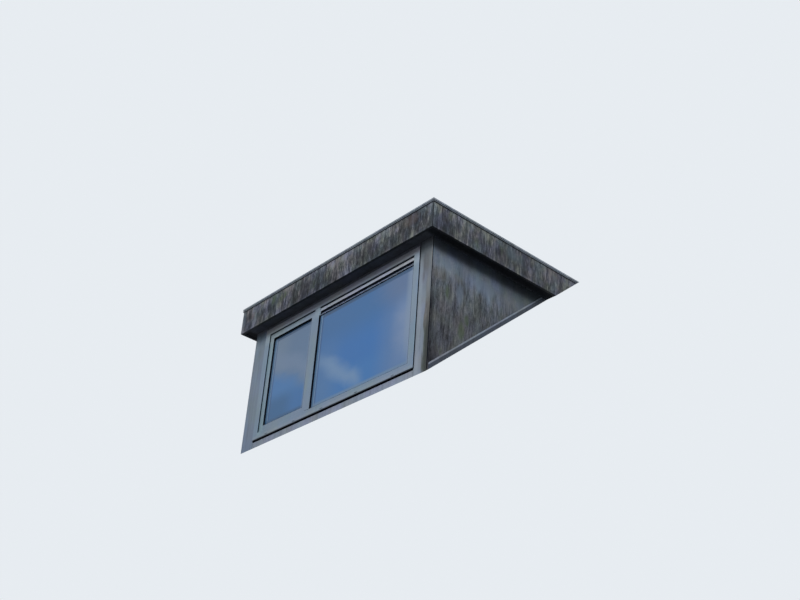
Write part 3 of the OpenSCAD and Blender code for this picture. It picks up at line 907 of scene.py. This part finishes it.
def fixed_gaskets_and_shade(bm):
    """Glazing rubber on three sides of the fixed pane, and a flat one under the vent. Their black is also
    painted shade in the reveal and under the vent.
    """
    front, glass = mullion.y0, fixed_pane.y0
    x0, x1, z0, z1 = fixed_opening
    corners = [(x0, z1), (x0, z0), (x1, z0), (x1, z1)]
    mitred_run(bm, corners, reveal_lining_and_shade(front, glass), closed=False)
    block(bm, (x0, glass - 0.005, z1 - 0.004), (x1, glass, z1 + 0.003))


def sash_seals_and_shade(bm):
    """The rubber in the gap between the frame and the sash. Its black is also painted shade in that recess.
    """
    front, sash = jamb_left.y0, stile_left.y0
    corners = rectangle(LIGHT_LEFT, mullion.x0, SILL_TOP, HEAD_UNDER)
    mitred_run(bm, corners, [(0, front + 0.004), (0.0006, front + 0.005), (0.003, sash), (0, sash)])


def frame_seals_and_shade(bm):
    """Sealant between the frame's sides and the boards, and in the joint under the sill. Its black is also
    painted shade beside the frame and on the sill's underside.
    """
    front = jamb_left.y0
    x0, x1, z0, z1 = jamb_left.x0, jamb_right.x1, frame_sill.z0, frame_head.z1
    corners = [(x1, z0), (x1, z1), (x0, z1), (x0, z0)]
    start = front + 0.004
    section = [(0, start), (-0.0015, start), (-0.004, FRONT - 0.002), (-0.004, FRONT), (0, FRONT)]
    mitred_run(bm, corners, section, closed=False)
    joint = apron.z1
    under_sill = [
        (FRONT - 0.006, z0), (FRONT - 0.006, z0 - 0.0025), (FRONT + 0.011, z0 - 0.004),
        (FRONT + 0.011, joint), (BOARD_BACK, joint), (BOARD_BACK, z0),
    ]
    bar(bm, under_sill, 0, x0, x1)


def corner_strip(bm, start, end, skin):
    """A thin strip down the side of each corner board, from start to end behind the front."""
    foot = roof_height(cheek.y0)
    for side in (-1, 1):
        inner, outer = side * cheek.x1, side * (HALF_W + skin)
        bar(bm, [(inner, start), (outer, start), (outer, end), (inner, end)], 2, foot, SOFFIT)


def panel_edges(bm):
    """The soiled front edge of each cheek, which laps over the corner board."""
    corner_strip(bm, FRONT + CORNER_SEAL[1], cheek.y0, 0.0003)


def board_seals(bm):
    """Sealant down the side of each corner board, and in the butt joints of the boards."""
    skin, half_w = 0.0004, 0.0016
    back, face = FRONT + 0.001, FRONT - skin
    corner_strip(bm, FRONT + CORNER_SEAL[0], FRONT + CORNER_SEAL[1], skin)
    for x in (frame_sill.x0, frame_sill.x1):
        for z0, z1 in ((BASE + 0.002, apron.z1), (frame_head.z1 + 0.004, SOFFIT)):
            bead = [(x - half_w, back), (x - half_w / 2, face), (x + half_w / 2, face), (x + half_w, back)]
            bar(bm, bead, 2, z0, z1)


def glass_spacers(bm):
    """The metal spacer of each sealed pane, just inside its rubber."""
    skin = 0.0004
    for opening, glass in ((sash_opening, sash_pane.y0), (fixed_opening, fixed_pane.y0)):
        section = [(0.0035, glass), (0.0035, glass - skin), (0.0085, glass - skin), (0.0085, glass)]
        mitred_run(bm, rectangle(*opening), section)


def vent_flap_and_shade(bm):
    """A black ribbed flap in the strip's slot, and a seal in the groove over its hood. Their black is also
    painted shade in the slot and under the head.
    """
    x0, x1 = fixed_opening[:2]
    rib_face, flap_face, flap_back = vent.y0 + 0.0004, vent.y0 + 0.0010, vent.y0 + 0.0020
    block(bm, (x0, flap_face, FLAP_FOOT), (x1, flap_back, SLOT_TOP))
    rib_w = 0.0024
    for x in spread(x0, x1, 0.0055):
        block(bm, (x - rib_w / 2, rib_face, FLAP_FOOT + 0.001), (x + rib_w / 2, flap_face, SLOT_TOP))
    # A black seal over the hood, which is also painted shade under the head
    block(bm, (x0, vent.y0 + 0.001, HOOD_TOP), (x1, vent.y0 + 0.008, HEAD_UNDER))


def vent_caps(bm):
    """Moulded caps that close the strip's ends."""
    thick = 0.004
    front, back = vent.y0 - 0.0015, vent.y0 + 0.014
    face = [(front, HOOD_TOP), (front, SLOT_TOP), (front + 0.003, FLAP_FOOT)]
    section = face + [(back, FLAP_FOOT), (back, HOOD_TOP)]
    for x in (fixed_opening[0], fixed_opening[1] - thick):
        bar(bm, section, 0, x, x + thick)


def fascia_screws(bm):
    """Two rows round the fascias, which stop short of where the side boards meet the roof."""
    radius, step = 0.0040, 0.42
    for z in (fascia.z0 + 0.045, trim.z0 - 0.040):
        for x in spread(fascia.x0, fascia.x1, step):
            screw(bm, (x, fascia.y0, z), (0, -1, 0), radius)
        for side in (-1, 1):
            run = side_fascia.y1 - (trim.z1 - z) / ROOF_SLOPE
            for y in spread(side_fascia.y0, run - 0.12, step):
                screw(bm, (side * fascia.x1, y, z), (side, 0, 0), radius)


def cheek_screws(bm):
    """Screws under the soffit, along the sloping base and down the front edge."""
    radius = 0.0045
    for side in (-1, 1):
        face, outwards = side * cheek.x1, (side, 0, 0)
        for y in spread(cheek.y0, cheek.y1 - 0.10, 0.33):
            screw(bm, (face, y, SOFFIT - 0.060), outwards, radius)
            along = roof_height(y) + 0.105
            if along < SOFFIT - 0.15:
                screw(bm, (face, y, along), outwards, radius)
        for z in spread(BASE + 0.15, SOFFIT - 0.12, 0.36):
            screw(bm, (face, cheek.y0 + 0.030, z), outwards, radius)


def flashing_laps(bm):
    """Where one length of flashing lies over the next, down each sloping base."""
    lap, proud, margin = 0.055, 0.0012, 0.002
    rise = 0.045 / math.cos(PITCH)
    dy, dz = lap * math.cos(PITCH), lap * math.sin(PITCH)
    for side in (-1, 1):
        inner, outer = side * flashing.x1, side * (flashing.x1 + proud)
        for y in spread(cheek.y0, flashing.y1 - 0.10, 0.34)[1:]:
            low, high = roof_height(y) + margin, roof_height(y) + rise - margin
            bar(bm, [(y, low), (y + dy, low + dz), (y + dy, high + dz), (y, high)], 0, inner, outer)


def membrane_laps(bm):
    """Side laps of the felt sheets, and the strip along the edge trim."""
    top, rear = membrane.z1, membrane.y1 - 0.02
    proud, lap, taper = 0.0025, 0.100, 0.004
    for x in FELT_LAP_PLACES:
        rise = [(x, top), (x, top + proud * 0.4), (x + taper, top + proud)]
        section = rise + [(x + lap, top + proud), (x + lap + taper, top)]
        bar(bm, section, 1, membrane.y0 + 0.06, rear)
    strip, inset, run_out = 0.150, 0.055, 0.003
    side_top, front_top = top + 0.0022, top + 0.0030
    start = membrane.y0 + inset
    for side in (-1, 1):
        edge = side * (membrane.x1 - inset)
        far = edge - side * strip
        section = [(edge, top), (edge, side_top), (far, side_top), (far - side * run_out, top)]
        bar(bm, section, 1, start, rear)
    far = start + strip
    section = [(start, top), (start, front_top), (far, front_top), (far + run_out, top)]
    bar(bm, section, 0, membrane.x0 + inset, membrane.x1 - inset)


def sash_hinges(bm):
    """Two barrel hinges on the room side of the sash, away from its handle."""
    radius, barrel, cap, cap_at, sides = 0.0075, 0.070, 0.005, 0.037, 20
    leaf_w, leaf_half_h, leaf_thick = 0.036, 0.028, 0.003
    x, back = stile_right.x1 - 0.006, stile_right.y1
    leaves = []
    for z in (rail_bottom.z1 + 0.05, rail_top.z0 - 0.05):
        cone(bm, (radius, radius), barrel, Matrix.Translation((x, back + radius, z)), sides)
        for end in (-1, 1):
            place = Matrix.Translation((x, back + radius, z + end * cap_at))
            turn = Matrix.Rotation(math.pi * (end < 0), 4, "X")
            cone(bm, (radius * 0.9, radius * 0.5), cap, place @ turn, sides)
        leaf_low, leaf_high = (x - leaf_w, back, z - leaf_half_h), (x, back + leaf_thick, z + leaf_half_h)
        leaves += block(bm, leaf_low, leaf_high)
        for dz in (-0.018, 0.018):
            screw(bm, (x - 0.024, back + leaf_thick, z + dz), (0, 1, 0), 0.0035)
    # Chamfers last: faces drawn after a bevel change order each run
    edges = list(dict.fromkeys(e for v in leaves for e in v.link_edges))
    bmesh.ops.bevel(bm, geom=edges, offset=0.0008, segments=1, affect="EDGES")


def drain_caps(bm):
    """Small hooded caps over the sill's drain slots."""
    y, z, half_w = frame_sill.y0, frame_sill.z0 + 0.020, 0.016
    hood = [(y, z - 0.004), (y - 0.0035, z - 0.004), (y - 0.0030, z + 0.003)]
    section = hood + [(y - 0.0006, z + 0.006), (y, z + 0.006)]
    for x in DRAIN_PLACES:
        bar(bm, section, 0, x - half_w, x + half_w)


def add_pieces():
    piece("seal", sash_gaskets_and_shade)
    piece("seal", fixed_gaskets_and_shade)
    piece("seal", sash_seals_and_shade)
    piece("seal", frame_seals_and_shade)
    piece("seal", board_seals)
    piece("cheek", panel_edges)
    piece("spacer", glass_spacers)
    piece("seal", vent_flap_and_shade)
    piece("vent_metal", vent_caps)
    piece("fascia", fascia_screws)
    piece("cheek", cheek_screws)
    piece("flashing", flashing_laps)
    piece("membrane", membrane_laps)
    piece("fixing", sash_hinges)
    piece("frame_paint", drain_caps)


def camera():
    data = bpy.data.cameras.new("camera")
    data.sensor_width = SENSOR_W
    data.lens = FOCAL_PX * SENSOR_W / PHOTO_W
    data.clip_end = 500
    ahead = Vector((
        -math.sin(CAMERA_AZIMUTH) * math.cos(CAMERA_ELEVATION),
        math.cos(CAMERA_AZIMUTH) * math.cos(CAMERA_ELEVATION),
        math.sin(CAMERA_ELEVATION),
    ))
    level = Vector((math.cos(CAMERA_AZIMUTH), math.sin(CAMERA_AZIMUTH), 0))
    upright = level.cross(ahead)
    right = level * math.cos(CAMERA_ROLL) + upright * math.sin(CAMERA_ROLL)
    up = upright * math.cos(CAMERA_ROLL) - level * math.sin(CAMERA_ROLL)
    obj = bpy.data.objects.new("camera", data)
    obj.matrix_world = Matrix.Translation(CAMERA_AT) @ Matrix((right, up, -ahead)).transposed().to_4x4()
    scene.collection.objects.link(obj)
    scene.camera = obj


def area_lamp(name, at, watts):
    """A soft disk that shines on the dormer. Glass and metal show the plain backdrop in its place."""
    data = bpy.data.lights.new(name, "AREA")
    data.shape = "DISK"
    data.size = LAMP_SIZE
    data.energy = watts
    obj = bpy.data.objects.new(name, data)
    obj.location = at
    obj.rotation_euler = (LIT_POINT - Vector(at)).to_track_quat("-Z", "Y").to_euler()
    obj.visible_glossy = False
    scene.collection.objects.link(obj)


def seen_directly(tree):
    """1 for what the camera, a reflection or a transmitted ray sees, and 0 for light on the object."""
    path = tree.nodes.new("ShaderNodeLightPath")
    value = path.outputs["Is Camera Ray"]
    for name in ("Is Glossy Ray", "Is Transmission Ray"):
        either = tree.nodes.new("ShaderNodeMath")
        either.operation = "MAXIMUM"
        tree.links.new(value, either.inputs[0])
        tree.links.new(path.outputs[name], either.inputs[1])
        value = either.outputs[0]
    return value


def plain(tree, kind, colour):
    """A shader of one colour."""
    node = tree.nodes.new(kind)
    node.inputs["Color"].default_value = colour
    return node.outputs[0]


def blend(tree, share, a, b):
    """Shader a where the share is 0 and shader b where it is 1."""
    node = tree.nodes.new("ShaderNodeMixShader")
    for socket, output in zip(node.inputs, (share, a, b)):
        tree.links.new(output, socket)
    return node.outputs[0]


def world():
    """Plain soft light all round, which the camera and reflections see as a pale backdrop."""
    made = bpy.data.worlds.new("studio")
    made.use_nodes = True
    tree = made.node_tree
    light = tree.nodes["Background"]
    light.inputs["Color"].default_value = ROUND_LIGHT
    light.inputs["Strength"].default_value = ROUND_STRENGTH
    seen = plain(tree, "ShaderNodeBackground", BACKDROP)
    shown = blend(tree, seen_directly(tree), light.outputs[0], seen)
    tree.links.new(shown, tree.nodes["World Output"].inputs["Surface"])
    scene.world = made


def floor():
    """A plain floor, pale to the camera, which throws little light upwards and fades into the backdrop."""
    mesh = bpy.data.meshes.new("floor")
    z = CAMERA_AT.z - STREET_BELOW_CAMERA
    h = FLOOR_SIZE / 2
    mesh.from_pydata([(-h, -h, z), (h, -h, z), (h, h, z), (-h, h, z)], [], [(0, 1, 2, 3)])
    obj = bpy.data.objects.new("floor", mesh)
    scene.collection.objects.link(obj)
    made = bpy.data.materials.new("floor")
    made.use_nodes = True
    tree = made.node_tree
    tree.nodes.remove(tree.nodes["Principled BSDF"])
    place = tree.nodes.new("ShaderNodeTexCoord")
    away = tree.nodes.new("ShaderNodeVectorMath")
    away.operation = "LENGTH"
    tree.links.new(place.outputs["Object"], away.inputs[0])
    far = tree.nodes.new("ShaderNodeMapRange")
    far.interpolation_type = "SMOOTHSTEP"
    far.inputs["From Min"].default_value, far.inputs["From Max"].default_value = FLOOR_FADES
    tree.links.new(away.outputs["Value"], far.inputs["Value"])
    dim = plain(tree, "ShaderNodeBsdfDiffuse", FLOOR_DIM)
    pale = plain(tree, "ShaderNodeBsdfDiffuse", FLOOR_PALE)
    backdrop = plain(tree, "ShaderNodeEmission", BACKDROP)
    seen = blend(tree, far.outputs["Result"], pale, backdrop)
    shown = blend(tree, seen_directly(tree), dim, seen)
    tree.links.new(shown, tree.nodes["Material Output"].inputs["Surface"])
    mesh.materials.append(made)


dress_solids()
add_pieces()
camera()
world()
floor()
for name, (at, watts) in LAMPS.items():
    area_lamp(name, at, watts)

scene.view_settings.view_transform = "Standard"
